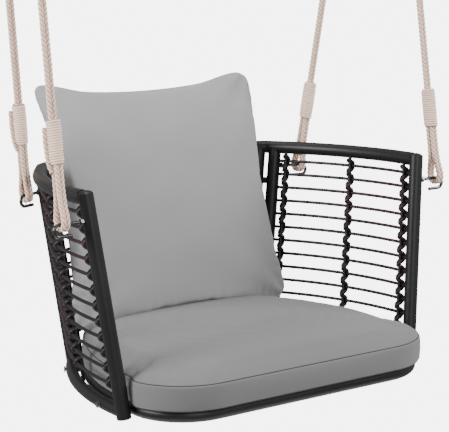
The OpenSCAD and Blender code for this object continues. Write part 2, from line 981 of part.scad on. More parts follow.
module bottom_rail_right_node() {
    color(steel)
        in_frame()
            bottom_rail_side();
}

module rungs_left_node() {
    color(rattan)
        in_frame()
            on_left()
                rungs_side();
}

module rungs_right_node() {
    color(rattan)
        in_frame()
            rungs_side();
}

module uprights_left_node() {
    color(steel)
        in_frame()
            on_left()
                uprights_side();
}

module uprights_right_node() {
    color(steel)
        in_frame()
            uprights_side();
}

module lacing_left_node() {
    color(rattan)
        in_frame()
            on_left()
                lacing_side();
}

module lacing_right_node() {
    color(rattan)
        in_frame()
            lacing_side();
}

module back_post_left_node() {
    color(steel)
        in_frame()
            on_left()
                back_post();
}

module back_post_right_node() {
    color(steel)
        in_frame()
            back_post();
}

module back_top_rail_node() {
    color(steel)
        in_frame()
            back_top();
}

module back_bottom_rail_node() {
    color(steel)
        in_frame()
            back_bottom();
}

module back_rungs_node() {
    color(rattan)
        in_frame()
            back_rungs_all();
}

module back_uprights_node() {
    color(steel)
        in_frame()
            back_uprights_all();
}

module back_lacing_node() {
    color(rattan)
        in_frame()
            back_lacing_all();
}

module corner_spacers_node() {
    color(steel)
        in_frame()
            on_both()
                corner_spacers();
}

module corner_bolts_node() {
    color(bright)
        in_frame()
            on_both()
                for (z = corner_levels)
                    corner_bolt(z);
}

module ring_spacers_node() {
    color(steel)
        in_frame()
            ring_spacers();
}

module ring_bolts_node() {
    color(bright)
        in_frame()
            ring_bolts();
}

module seat_cushion_node() {
    color(canvas)
        in_frame()
            cushion();
}

module back_pillow_node() {
    color(canvas)
        in_frame()
            pillow();
}

module hook_front_left_node() {
    color(steel)
        in_frame()
            on_left()
                at_hook_front()
                    seat_hook();
}

module hook_front_right_node() {
    color(steel)
        in_frame()
            at_hook_front()
                seat_hook();
}

module hook_rear_left_node() {
    color(steel)
        in_frame()
            on_left()
                at_hook_rear()
                    seat_hook();
}

module hook_rear_right_node() {
    color(steel)
        in_frame()
            at_hook_rear()
                seat_hook();
}

module hook_nuts_node() {
    color(steel)
        in_frame()
            on_both() {
                at_hook_front()
                    hook_nut();
                at_hook_rear()
                    hook_nut();
            }
}

module rope_front_left_node() {
    color(cotton)
        on_left()
            rope(front_route);
}

module rope_front_right_node() {
    color(cotton)
        rope(front_route);
}

module rope_rear_left_node() {
    color(cotton)
        on_left()
            rope(rear_route);
}

module rope_rear_right_node() {
    color(cotton)
        rope(rear_route);
}

module eyes_front_left_node() {
    color(cotton)
        in_frame()
            on_left()
                eyes(hook_front, top_front, eye_slack, top_eye_slack);
}

module eyes_front_right_node() {
    color(cotton)
        in_frame()
            eyes(hook_front, top_front, eye_slack, top_eye_slack);
}

module whippings_front_left_node() {
    color(cotton)
        in_frame()
            on_left()
                whippings(hook_front, top_front);
}

module whippings_front_right_node() {
    color(cotton)
        in_frame()
            whippings(hook_front, top_front);
}

module eyes_rear_left_node() {
    color(cotton)
        in_frame()
            on_left()
                eyes(hook_rear, top_rear, rear_eye_slack, rear_top_eye_slack);
}

module eyes_rear_right_node() {
    color(cotton)
        in_frame()
            eyes(hook_rear, top_rear, rear_eye_slack, rear_top_eye_slack);
}

module whippings_rear_left_node() {
    color(cotton)
        in_frame()
            on_left()
                whippings(hook_rear, top_rear);
}

module whippings_rear_right_node() {
    color(cotton)
        in_frame()
            whippings(hook_rear, top_rear);
}

module ceiling_hooks_node() {
    color(bright)
        in_frame()
            on_both() {
                translate(top_front)
                    ceiling_hook();
                translate(top_rear)
                    ceiling_hook();
            }
}

base_ring_node();  // base_ring
seat_bearers_node();  // seat_bearers
front_post_left_node();  // front_post_left
front_post_right_node();  // front_post_right
rear_post_left_node();  // rear_post_left
rear_post_right_node();  // rear_post_right
top_rail_left_node();  // top_rail_left
top_rail_right_node();  // top_rail_right
bottom_rail_left_node();  // bottom_rail_left
bottom_rail_right_node();  // bottom_rail_right
rungs_left_node();  // rungs_left
rungs_right_node();  // rungs_right
uprights_left_node();  // uprights_left
uprights_right_node();  // uprights_right
lacing_left_node();  // lacing_left
lacing_right_node();  // lacing_right
back_post_left_node();  // back_post_left
back_post_right_node();  // back_post_right
back_top_rail_node();  // back_top_rail
back_bottom_rail_node();  // back_bottom_rail
back_rungs_node();  // back_rungs
back_uprights_node();  // back_uprights
back_lacing_node();  // back_lacing
corner_spacers_node();  // corner_spacers
corner_bolts_node();  // corner_bolts
ring_spacers_node();  // ring_spacers
ring_bolts_node();  // ring_bolts
seat_cushion_node();  // seat_cushion
back_pillow_node();  // back_pillow
hook_front_left_node();  // hook_front_left
hook_front_right_node();  // hook_front_right
hook_rear_left_node();  // hook_rear_left
hook_rear_right_node();  // hook_rear_right
hook_nuts_node();  // hook_nuts
rope_front_left_node();  // rope_front_left
rope_front_right_node();  // rope_front_right
rope_rear_left_node();  // rope_rear_left
rope_rear_right_node();  // rope_rear_right
eyes_front_left_node();  // eyes_front_left
eyes_front_right_node();  // eyes_front_right
whippings_front_left_node();  // whippings_front_left
whippings_front_right_node();  // whippings_front_right
eyes_rear_left_node();  // eyes_rear_left
eyes_rear_right_node();  // eyes_rear_right
whippings_rear_left_node();  // whippings_rear_left
whippings_rear_right_node();  // whippings_rear_right
ceiling_hooks_node();  // ceiling_hooks
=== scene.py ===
import json
import math
import bmesh
import bpy
from mathutils import Matrix, Vector, noise

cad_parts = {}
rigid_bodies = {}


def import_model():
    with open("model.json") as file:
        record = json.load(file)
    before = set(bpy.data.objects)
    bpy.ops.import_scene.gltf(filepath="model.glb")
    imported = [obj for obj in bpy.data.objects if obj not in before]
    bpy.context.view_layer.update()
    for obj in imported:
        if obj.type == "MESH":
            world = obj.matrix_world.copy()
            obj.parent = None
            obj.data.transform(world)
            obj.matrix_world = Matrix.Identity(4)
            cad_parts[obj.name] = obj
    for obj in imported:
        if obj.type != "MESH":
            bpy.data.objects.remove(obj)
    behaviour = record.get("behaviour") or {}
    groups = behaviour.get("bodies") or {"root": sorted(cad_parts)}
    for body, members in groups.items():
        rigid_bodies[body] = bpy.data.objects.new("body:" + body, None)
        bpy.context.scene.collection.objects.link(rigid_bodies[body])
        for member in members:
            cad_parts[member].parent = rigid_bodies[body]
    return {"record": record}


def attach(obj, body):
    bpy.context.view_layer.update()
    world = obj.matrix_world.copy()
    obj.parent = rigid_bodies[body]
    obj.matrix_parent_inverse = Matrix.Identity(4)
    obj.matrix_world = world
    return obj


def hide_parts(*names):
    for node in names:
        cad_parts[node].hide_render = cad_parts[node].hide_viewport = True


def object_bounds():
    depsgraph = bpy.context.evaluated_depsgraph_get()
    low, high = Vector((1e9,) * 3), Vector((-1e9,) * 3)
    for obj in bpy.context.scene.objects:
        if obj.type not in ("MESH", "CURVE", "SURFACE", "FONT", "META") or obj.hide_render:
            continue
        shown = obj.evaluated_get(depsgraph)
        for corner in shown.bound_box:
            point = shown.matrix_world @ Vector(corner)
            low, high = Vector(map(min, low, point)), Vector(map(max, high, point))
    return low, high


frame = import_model()
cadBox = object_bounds()

seatOrigin = Vector((0, -0.025795, -0.770))  # middle of the four feet, seen from the hanging points
mirrorX = Matrix.Diagonal((-1, 1, 1, 1))
sides = {"left": -1, "right": 1}


class Wire:
    # one output of a node, for arithmetic
    def __init__(self, tree, out):
        self.tree = tree
        self.out = out

    def join(self, operation, *values):
        return Board(self.tree).wire("ShaderNodeMath", dict(enumerate(values)), operation=operation)

    def __add__(self, other):
        return self.join("ADD", self, other)

    def __sub__(self, other):
        return self.join("SUBTRACT", self, other)

    def __rsub__(self, other):
        return self.join("SUBTRACT", other, self)

    def __mul__(self, other):
        return self.join("MULTIPLY", self, other)

    def __truediv__(self, other):
        return self.join("DIVIDE", self, other)

    __radd__ = __add__
    __rmul__ = __mul__

    def power(self, other):
        return self.join("POWER", self, other)

    def clamped(self, low=0.0, high=1.0):
        return self.join("MAXIMUM", self.join("MINIMUM", self, high), low)


class Board:
    # a node tree that nodes are put on
    def __init__(self, tree):
        self.tree = tree

    def put(self, kind, values=None, **settings):
        node = self.tree.nodes.new(kind)
        for name, value in settings.items():
            setattr(node, name, value)
        for slot, value in (values or {}).items():
            if isinstance(value, Wire):
                self.tree.links.new(value.out, node.inputs[slot])
            else:
                node.inputs[slot].default_value = value
        return node

    def wire(self, kind, values=None, pick=0, **settings):
        return Wire(self.tree, self.put(kind, values, **settings).outputs[pick])

    def mixed(self, mask, first, second):
        return self.wire("ShaderNodeMix", {0: mask, 6: first, 7: second}, pick=2, data_type="RGBA")

    def place(self):
        return self.wire("ShaderNodeTexCoord", pick="Object")

    def stretched(self, scale):
        return self.wire("ShaderNodeMapping", {"Vector": self.place(), "Scale": scale})

    def noise(self, scale, detail=3.0, roughness=0.5, vector=None):
        return self.wire("ShaderNodeTexNoise", {
            "Vector": vector or self.place(), "Scale": scale, "Detail": detail, "Roughness": roughness})

    def bump(self, height, distance, strength=1.0):
        return self.wire("ShaderNodeBump", {"Height": height, "Distance": distance, "Strength": strength})


def newMaterial(name, paint, **fixed):
    made = bpy.data.materials.new(name)
    made.use_nodes = True
    board = Board(made.node_tree)
    made.node_tree.nodes.clear()
    shader = board.put("ShaderNodeBsdfPrincipled")
    board.put("ShaderNodeOutputMaterial", {"Surface": Wire(made.node_tree, shader.outputs[0])})
    for slot, value in {**paint(board), **fixed}.items():
        if isinstance(value, Wire):
            made.node_tree.links.new(value.out, shader.inputs[slot])
        else:
            shader.inputs[slot].default_value = value
    return made


def rgb(*parts):
    return (*parts, 1.0)


def paintFrame(board):
    cloud = board.noise(9.0)
    grain = board.noise(900.0, 2.0)
    return {
        "Base Color": board.mixed(cloud, rgb(0.006, 0.006, 0.0065), rgb(0.010, 0.010, 0.0105)),
        "Roughness": 0.36 + 0.10 * cloud,
        "Normal": board.bump(grain, 0.00025, 0.35),
    }


def paintReed(board):
    patch = ((board.noise(7.0, 1.0) - 0.47) * 7.0).clamped()
    streak = board.noise(60.0, 4.0, 0.6, board.stretched((1, 1, 6)))
    tone = board.mixed(patch, rgb(0.007, 0.006, 0.006), rgb(0.030, 0.009, 0.012))
    return {
        "Base Color": board.mixed(streak * 0.5, tone, rgb(0.020, 0.017, 0.017)),
        "Roughness": 0.38 + 0.16 * streak,
        "Normal": board.bump(streak, 0.0005, 0.4),
    }


def paintHook(board):
    wear = ((board.noise(120.0, 3.0) - 0.62) * 9.0).clamped()
    return {
        "Base Color": board.mixed(wear, rgb(0.014, 0.014, 0.015), rgb(0.10, 0.10, 0.10)),
        "Roughness": 0.20 + 0.15 * wear,
        "Metallic": wear * 0.8,
    }


def paintPlated(board):
    cloud = board.noise(300.0, 3.0)
    return {
        "Base Color": board.mixed(cloud, rgb(0.13, 0.13, 0.135), rgb(0.22, 0.22, 0.225)),
        "Roughness": 0.24 + 0.2 * cloud,
        "Metallic": 1.0,
        "Normal": board.bump(cloud, 0.0002, 0.3),
    }


def paintRope(board):
    depth = board.wire("ShaderNodeAttribute", pick="Fac", attribute_name="depth")
    fibre = board.noise(1400.0, 3.0, 0.65)
    blotch = board.noise(40.0, 2.0)
    light = board.mixed(blotch, rgb(0.92, 0.68, 0.55), rgb(0.80, 0.56, 0.44))
    # painted shade: the rope colour goes dark where the depth value is low, in the grooves between the
    # strands
    paintedGrooveShade = board.mixed(depth.power(1.5), rgb(0.12, 0.045, 0.03), light)
    return {
        "Base Color": board.mixed(fibre * 0.22, paintedGrooveShade, rgb(0.95, 0.80, 0.69)),
        "Roughness": 0.84 + 0.1 * fibre,
        "Normal": board.bump(fibre, 0.0006, 0.5),
    }


def paintTwine(board):
    depth = board.wire("ShaderNodeAttribute", pick="Fac", attribute_name="depth")
    fibre = board.noise(1600.0, 3.0, 0.65)
    # painted shade: the twine colour goes dark where the depth value is low, between the turns and over the
    # core
    paintedGrooveShade = board.mixed(depth.power(1.4), rgb(0.09, 0.035, 0.03), rgb(0.84, 0.61, 0.49))
    return {
        "Base Color": board.mixed(fibre * 0.28, paintedGrooveShade, rgb(0.88, 0.74, 0.65)),
        "Roughness": 0.82 + 0.1 * fibre,
        "Normal": board.bump(fibre, 0.0005, 0.5),
    }


def paintCloth(board, light, dark):
    weft = board.wire("ShaderNodeTexWave", {"Vector": board.place(), "Scale": 260.0, "Distortion": 1.5},
                      bands_direction="X")
    warp = board.wire("ShaderNodeTexWave", {"Vector": board.place(), "Scale": 260.0, "Distortion": 1.5},
                      bands_direction="Z")
    weave = weft * 0.5 + warp * 0.5
    slub = board.noise(420.0, 3.0, 0.6)
    cloud = board.noise(5.0, 3.0)
    tone = board.mixed(cloud, dark, light)
    return {
        "Base Color": board.mixed((weave + slub) * 0.08, tone, rgb(0.26, 0.26, 0.26)),
        "Roughness": 0.80 + 0.12 * slub,
        "Normal": board.bump(weave + slub, 0.0004, 0.35),
    }


# the seat and the pillow are one fabric: the seat copy is painted darker than the pillow copy, painted shade
# on the seat and painted light on the pillow
def paintSeatClothShaded(board):
    return paintCloth(board, rgb(0.104, 0.104, 0.104), rgb(0.093, 0.093, 0.093))


def paintPillowClothLit(board):
    return paintCloth(board, rgb(0.238, 0.238, 0.238), rgb(0.214, 0.214, 0.214))


# near-black colour for the seam tubes: painted shade for the seam grooves
def paintSeamGrooveShade(board):
    return {"Base Color": rgb(0.028, 0.028, 0.028), "Roughness": 0.8 + 0.1 * board.noise(500.0)}


finishes = {
    "frame_paint": newMaterial("framePaint", paintFrame, **{"Specular IOR Level": 0.28}),
    "reed": newMaterial("reed", paintReed, **{"Specular IOR Level": 0.25}),
    "hook_steel": newMaterial("hookSteel", paintHook, **{"Coat Weight": 0.4}),
    "plated_steel": newMaterial("platedSteel", paintPlated),
    "rope": newMaterial("cottonRope", paintRope),
    "twine": newMaterial("cottonTwine", paintTwine),
    "seat_cloth": newMaterial("seatClothShaded", paintSeatClothShaded, **{"Sheen Weight": 0.12}),
    "pillow_cloth": newMaterial("pillowClothLit", paintPillowClothLit, **{"Sheen Weight": 0.12}),
}
seamGrooveShadeMaterial = newMaterial("seamGrooveShade", paintSeamGrooveShade)


for part in frame["record"]["subparts"]:
    node = bpy.data.objects[part["node"]]
    node.data.materials.clear()
    node.data.materials.append(finishes[part["material_slot"]])


cameraView = dict(azimuth=34.15, elevation=11.584, roll=-0.909, distance=2.727083, aimHeight=0.2,
                  focal=119.23, shiftX=0.0035, shiftY=0.10326)


def placeCamera():
    turn, tilt, roll = (math.radians(cameraView[k]) for k in ("azimuth", "elevation", "roll"))
    ahead = Vector((math.sin(turn) * math.cos(tilt), math.cos(turn) * math.cos(tilt), -math.sin(tilt)))
    flatRight = Vector((math.cos(turn), -math.sin(turn), 0))
    flatUp = flatRight.cross(ahead)
    right = flatRight * math.cos(roll) + flatUp * math.sin(roll)
    up = flatUp * math.cos(roll) - flatRight * math.sin(roll)
    data = bpy.data.cameras.new("camera")
    data.lens = cameraView["focal"]
    data.sensor_width = 36
    data.shift_x = cameraView["shiftX"]
    data.shift_y = cameraView["shiftY"]
    camera = bpy.data.objects.new("camera", data)
    bpy.context.collection.objects.link(camera)
    turned = Matrix((right, up, -ahead)).transposed().to_4x4()
    aim = seatOrigin + Vector((0, 0, cameraView["aimHeight"]))
    camera.matrix_world = Matrix.Translation(aim - ahead * cameraView["distance"]) @ turned
    bpy.context.scene.camera = camera


lamps = {
    "key": dict(place=(2.0, -1.9, 1.3), aim=(0, 0, -0.5), size=1.7, power=162),
    "front": dict(place=(-0.7, -3.0, 0.2), aim=(0, 0, -0.5), size=1.6, power=40),
    "side": dict(place=(-2.5, 0.2, 0.5), aim=(0, 0, -0.45), size=1.3, power=120),
    "top": dict(place=(-0.2, 0.3, 2.2), aim=(0, 0, -0.6), size=1.5, power=40),
}
skyLight = dict(seen=6.0, given=0.36)


def placeLamps():
    for name, lamp in lamps.items():
        data = bpy.data.lights.new(name, "AREA")
        data.size = lamp["size"]
        data.energy = lamp["power"]
        light = bpy.data.objects.new(name, data)
        bpy.context.collection.objects.link(light)
        light.location = lamp["place"]
        light.rotation_euler = (Vector(lamp["aim"]) - light.location).to_track_quat("-Z", "Y").to_euler()
    world = bpy.data.worlds.new("studio")
    world.use_nodes = True
    world.node_tree.nodes.clear()
    board = Board(world.node_tree)
    seen = board.wire("ShaderNodeLightPath", pick="Is Camera Ray")
    strength = skyLight["given"] + seen * (skyLight["seen"] - skyLight["given"])
    glow = board.wire("ShaderNodeBackground", {"Color": rgb(1, 1, 1), "Strength": strength})
    board.put("ShaderNodeOutputWorld", {"Surface": glow})
    bpy.context.scene.world = world


floorSettings = dict(below=0.8, half=1.0)


def placeFloor():
    low = cadBox[0].z - floorSettings["below"]
    half = floorSettings["half"]
    mesh = bpy.data.meshes.new("floor")
    mesh.from_pydata([(-half, -half, low), (half, -half, low), (half, half, low), (-half, half, low)],
                     [], [(0, 1, 2, 3)])
    floor = bpy.data.objects.new("floor", mesh)
    bpy.context.collection.objects.link(floor)
    mesh.materials.append(newMaterial("floorPaper", lambda board: {
        "Base Color": rgb(0.93, 0.93, 0.93), "Roughness": 0.9 + 0.05 * board.noise(3.0)}))


placeCamera()
placeLamps()
placeFloor()
print("camera, lamps and floor placed")


def pieceFrom(name, mesh, material, body, slot):
    mesh.materials.clear()
    mesh.materials.append(material)
    mesh.polygons.foreach_set("use_smooth", [True] * len(mesh.polygons))
    mesh.update()
    piece = bpy.data.objects.new(name, mesh)
    bpy.context.collection.objects.link(piece)
    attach(piece, body)
    return piece


def smoothLine(points, step):
    # Catmull-Rom through the points, then points a step apart
    points = [Vector(p) for p in points]
    ends = [points[0] * 2 - points[1], *points, points[-1] * 2 - points[-2]]
    fine = []
    for a, b, c, d in zip(ends, ends[1:], ends[2:], ends[3:]):
        for k in range(24):
            t = k / 24
            fine.append(0.5 * (2 * b + (c - a) * t + (2 * a - 5 * b + 4 * c - d) * t ** 2
                               + (3 * b - a - 3 * c + d) * t ** 3))
    fine.append(points[-1])
    return evenLine(fine, step)


def evenLine(fine, step):
    total = sum((b - a).length for a, b in zip(fine, fine[1:]))
    count = max(2, round(total / step))
    out = [fine[0]]
    walked, target = 0.0, total / count
    for a, b in zip(fine, fine[1:]):
        span = (b - a).length
        while span > 0 and len(out) < count and walked + span >= target * len(out) - 1e-12:
            out.append(a.lerp(b, (target * len(out) - walked) / span))
        walked += span
    out.append(fine[-1])
    return out


def carriedFrames(line, side):
    # tangent, side and third direction at each point, carried along without twist
    frames = []
    for k, point in enumerate(line):
        ahead = (line[min(k + 1, len(line) - 1)] - line[max(k - 1, 0)]).normalized()
        side = (side - ahead * side.dot(ahead)).normalized()
        frames.append((ahead, side, ahead.cross(side)))
    return frames


class Bundle:
    # tubes gathered into one mesh, with a depth value for the grooves between them; the rope and twine
    # colours darken with it as painted shade in the grooves
    def __init__(self):
        self.verts, self.faces, self.depths = [], [], []

    def tube(self, line, radius, sideCount, towards, depthAt):
        frames = carriedFrames(line, towards)
        start = len(self.verts)
        for k, (centre, (ahead, side, third)) in enumerate(zip(line, frames)):
            for j in range(sideCount):
                a = 2 * math.pi * j / sideCount
                point = centre + (side * math.cos(a) + third * math.sin(a)) * radius
                self.verts.append(point)
                self.depths.append(depthAt(k, point))
        rings = len(line)
        for k in range(rings - 1):
            for j in range(sideCount):
                a = start + k * sideCount + j
                b = start + k * sideCount + (j + 1) % sideCount
                self.faces.append((a, b, b + sideCount, a + sideCount))
        self.faces.append(tuple(start + j for j in reversed(range(sideCount))))
        self.faces.append(tuple(start + (rings - 1) * sideCount + j for j in range(sideCount)))

    def mesh(self, name):
        mesh = bpy.data.meshes.new(name)
        mesh.from_pydata([tuple(v) for v in self.verts], [], self.faces)
        depth = mesh.attributes.new("depth", "FLOAT", "POINT")
        depth.data.foreach_set("value", self.depths)
        return mesh


ropeLay = dict(radius=0.0043, strands=3, pitch=0.024, step=0.0018, sides=8, strandShare=0.53, groove=0.45)


def twistedCord(bundle, line, side, hand, phase=0.0):
    # a three-strand rope round the line, laid left or right
    lay = ropeLay
    strandRadius = lay["radius"] * lay["strandShare"]
    orbit = lay["radius"] - strandRadius
    fine = evenLine(line, lay["step"])
    frames = carriedFrames(fine, side)

    # depth for the painted groove shade: zero towards the rope's middle, one at its outside
    def depthAt(k, point):
        share = (point - fine[k]).length / lay["radius"]
        return min(1.0, max(0.0, (share - lay["groove"]) / (1 - lay["groove"])))

    for s in range(lay["strands"]):
        path = []
        for k, (centre, (ahead, across, third)) in enumerate(zip(fine, frames)):
            a = phase + 2 * math.pi * (s / lay["strands"] + hand * k * lay["step"] / lay["pitch"])
            path.append(centre + (across * math.cos(a) + third * math.sin(a)) * orbit)
        bundle.tube(path, strandRadius, lay["sides"], side, depthAt)


hanger = dict(
    hookFront=(0.398812, -0.158860, -0.436), topFront=(0.393144, -0.098256, 0.0),
    hookRear=(0.306354, 0.149150, -0.435), topRear=(0.352464, 0.098256, 0.0),
    routeFront=((0.3966, -0.1357, -0.2695), (0.3962, -0.1310, -0.2360), (0.3957, -0.1265, -0.2030),
                (0.3953, -0.1219, -0.1700), (0.3949, -0.1173, -0.1370), (0.3944, -0.1127, -0.1040),
                (0.3940, -0.1080, -0.0705)),
    routeRear=((0.3234, 0.1297, -0.2690), (0.3269, 0.1258, -0.2360), (0.3304, 0.1220, -0.2030),
               (0.3339, 0.1181, -0.1700), (0.3374, 0.1142, -0.1370), (0.3409, 0.1104, -0.1040),
               (0.3445, 0.1064, -0.0705)),
    ropeWidth=0.013, apart=0.0035, eyeRadius=0.013, waistAt=0.045, waist=0.006,
    slackFront=(0.001, 0.0018), slackRear=(0.003, 0.0026),
    eyeLow=0.095, hookWire=0.006, whipLow=0.072,
    eyeHigh=0.042, ceilingWire=0.008, whipHigh=0.028,
    neck=0.005, seatGap=0.0008, cordStep=0.0015, bowShoulder=(0.93, 0.6), bowCuts=8,
    tuckLow=0.012, tuckHigh=0.006, pathStep=0.012,
    tailTurn=34, tailReach=0.0148, tailFoot=((0.55, -0.012), (0.86, 0.004), (1.0, 0.03)),
    tailHead=((1.0, -0.01), (1.02, 0.0)), tailEnd=0.012,
)
whipping = dict(twine=0.0021, width=0.028, thick=0.021, wrap=0.0041, pointsPerTurn=40, sides=8, swell=0.0006,
                wobble=0.0012, coreSides=24, coreInset=0.0004, coreDepth=0.35, seedStep=3.7)


def hangerPlace(end):
    # from the hanger's own axes, with the lower hook at zero and the rope up Z
    low, high = Vector(hanger["hook" + end]), Vector(hanger["top" + end])
    turn = Vector((0, 0, 1)).rotation_difference(high - low)
    return Matrix.Translation(low) @ turn.to_matrix().to_4x4(), (high - low).length


def eyeLine(length, wire, slack):
    # down one leg, round the hook and up the other, in the YZ plane
    bow = hanger["eyeRadius"]
    seat = bow - ropeLay["radius"] - wire / 2 - slack
    legs = [Vector((0, hanger["neck"], length))]
    if length > hanger["waistAt"] * 1.5:
        legs.append(Vector((0, hanger["waist"], hanger["waistAt"])))
    across, above = hanger["bowShoulder"]
    legs.append(Vector((0, bow * across, seat + bow * above)))
    cuts = hanger["bowCuts"]
    arc = [Vector((0, bow * math.cos(a), seat - bow * math.sin(a)))
           for a in (math.pi * k / cuts for k in range(cuts + 1))]
    back = [Vector((0, -p.y, p.z)) for p in reversed(legs)]
    return smoothLine([*legs, *arc, *back], hanger["cordStep"])


def buildEyes(end, span):
    bundle = Bundle()
    slackLow, slackHigh = hanger["slack" + end]
    for length, wire, slack, flip in (
            (hanger["eyeLow"] + hanger["tuckLow"], hanger["hookWire"], slackLow, False),
            (hanger["eyeHigh"] + hanger["tuckHigh"], hanger["ceilingWire"], slackHigh, True)):
        for k, shift in enumerate((-1, 1)):
            beside = Vector((shift * hanger["apart"], 0, 0))
            line = [p + beside for p in eyeLine(length, wire, slack)]
            if flip:
                line = [Vector((p.x, -p.y, span - p.z)) for p in line]
            twistedCord(bundle, line, Vector((1, 0, 0)), shift, 0.6 * k)
    top = hanger["eyeLow"] + hanger["whipLow"] - hanger["tailEnd"]
    turn = math.radians(hanger["tailTurn"])
    out = Vector((math.cos(turn), math.sin(turn), 0)) * hanger["tailReach"]
    tail = [out * share + Vector((0, 0, base + rise))
            for base, spots in ((hanger["eyeLow"], hanger["tailFoot"]), (top, hanger["tailHead"]))
            for share, rise in spots]
    twistedCord(bundle, smoothLine(tail, hanger["cordStep"]), Vector((1, 0, 0)), 1)
    return bundle


def buildRope(end, place):
    # the rope runs on through both whippings
    route = [Vector(p) for p in hanger["route" + end]]
    ahead = (route[-1] - route[0]).normalized()
    low = route[0] - ahead * (hanger["whipLow"] + hanger["seatGap"])
    high = route[-1] + ahead * (hanger["whipHigh"] + hanger["seatGap"])
    route = [low, *route, high]
    across = place.to_3x3() @ Vector((1, 0, 0))
    line = smoothLine(route, ropeLay["step"])
    bundle = Bundle()
    for hand in (-1, 1):
        beside = [p + across * hand * hanger["apart"] for p in line]
        twistedCord(bundle, beside, across, hand, 0.9 * hand)
    return bundle, route


def whippingTree():
    # a wound twine: a spiral pushed out to the whipping's section, then given its thickness
    tree = bpy.data.node_groups.new("woundTwine", "GeometryNodeTree")
    face = tree.interface
    face.new_socket("Geometry", in_out="OUTPUT", socket_type="NodeSocketGeometry")
    names = ("Length", "Width", "Thickness", "Twine", "Wrap", "Swell", "Seed")
    for name in names:
        face.new_socket(name, in_out="INPUT", socket_type="NodeSocketFloat")
    face.new_socket("Material", in_out="INPUT", socket_type="NodeSocketMaterial")
    board = Board(tree)
    given = board.put("NodeGroupInput")
    length, width, thick, twine, wrap, swell, seed = (Wire(tree, given.outputs[name]) for name in names)
    turns = (length - 2 * twine) / wrap
    spiral = board.wire("GeometryNodeCurveSpiral", {
        "Resolution": whipping["pointsPerTurn"], "Rotations": turns, "Start Radius": 1.0,
        "End Radius": 1.0, "Height": length - 2 * twine})
    spot = board.put("ShaderNodeSeparateXYZ", {0: board.wire("GeometryNodeInputPosition")})
    x, y, z = (Wire(tree, out) for out in spot.outputs)
    rise = z / length
    barrel = swell * 4.0 * rise * (1.0 - rise)
    wobble = (board.wire("ShaderNodeTexNoise", {"Vector": board.wire("ShaderNodeCombineXYZ", {
        0: x * 0.4, 1: seed, 2: z * 260.0}), "Scale": 1.0, "Detail": 1.0}) - 0.5) * whipping["wobble"]
    radius = thick / 2 - twine + barrel + wobble
    half = (width - thick) / 2
    moved = board.wire("ShaderNodeCombineXYZ", {
        0: x * radius, 1: y * radius + half * (y * 3.0).clamped(-1.0, 1.0), 2: z + twine})
    wound = board.wire("GeometryNodeSetPosition", {"Geometry": spiral, "Position": moved})
    ring = board.wire("GeometryNodeCurvePrimitiveCircle", {
        "Resolution": whipping["sides"], "Radius": twine})
    skin = board.wire("GeometryNodeCurveToMesh", {
        "Curve": wound, "Profile Curve": ring, "Fill Caps": True})
    real = board.wire("GeometryNodeRealizeInstances", {"Geometry": skin})
    painted = board.wire("GeometryNodeSetMaterial", {
        "Geometry": real, "Material": Wire(tree, given.outputs["Material"])})
    board.put("NodeGroupOutput", {0: painted})
    return tree


twineTree = whippingTree()


def grown(tree, inputs, name):
    # the tree's result as a plain mesh
    host = bpy.data.objects.new(name, bpy.data.meshes.new(name))
    bpy.context.collection.objects.link(host)
    modifier = host.modifiers.new("tree", "NODES")
    modifier.node_group = tree
    for item in tree.interface.items_tree:
        if item.in_out == "INPUT" and item.name in inputs:
            modifier[item.identifier] = inputs[item.name]
    made = bpy.data.meshes.new_from_object(host.evaluated_get(bpy.context.evaluated_depsgraph_get()))
    bpy.data.objects.remove(host)
    return made


def stadiumSpot(angle, radius, half):
    return Vector((math.cos(angle) * radius,
                   math.sin(angle) * radius + half * max(-1, min(1, 3 * math.sin(angle))), 0))


def buildWhippings(span, seed):
    bundle = Bundle()
    half = (whipping["width"] - whipping["thick"]) / 2
    for k, (low, length) in enumerate((
            (hanger["eyeLow"] + hanger["seatGap"], hanger["whipLow"]),
            (span - hanger["eyeHigh"] - hanger["seatGap"] - hanger["whipHigh"], hanger["whipHigh"]))):
        wound = grown(twineTree, {
            "Length": length, "Width": whipping["width"], "Thickness": whipping["thick"],
            "Twine": whipping["twine"], "Wrap": whipping["wrap"], "Swell": whipping["swell"],
            "Seed": seed + whipping["seedStep"] * k, "Material": finishes["twine"]}, "wound")
        base = len(bundle.verts)
        # depth for painted shade: the twine darkens towards the whipping's core
        for v in wound.vertices:
            centre = Vector((0, max(-half, min(half, v.co.y)), v.co.z))
            out = (v.co - centre).length - (whipping["thick"] / 2 - 2 * whipping["twine"])
            bundle.verts.append(v.co + Vector((0, 0, low)))
            bundle.depths.append(max(0.0, min(1.0, out / (2 * whipping["twine"]))))
        bundle.faces += [tuple(base + i for i in p.vertices) for p in wound.polygons]
        core, count = len(bundle.verts), whipping["coreSides"]
        coreRadius = whipping["thick"] / 2 - whipping["twine"]
        for z in (low + whipping["coreInset"], low + length - whipping["coreInset"]):
            for j in range(count):
                spot = stadiumSpot(2 * math.pi * j / count, coreRadius, half)
                bundle.verts.append(spot + Vector((0, 0, z)))
                # the core between the turns gets a fixed low depth, so it is painted darker as shade
                bundle.depths.append(whipping["coreDepth"])
        bundle.faces += [(core + j, core + (j + 1) % count, core + count + (j + 1) % count, core + count + j)
                         for j in range(count)]
        bundle.faces.append(tuple(core + j for j in reversed(range(count))))
        bundle.faces.append(tuple(core + count + j for j in range(count)))
    return bundle


def setDown(mesh, place, mirrored):
    mesh.transform(place)
    if mirrored:
        mesh.transform(mirrorX)
        mesh.flip_normals()


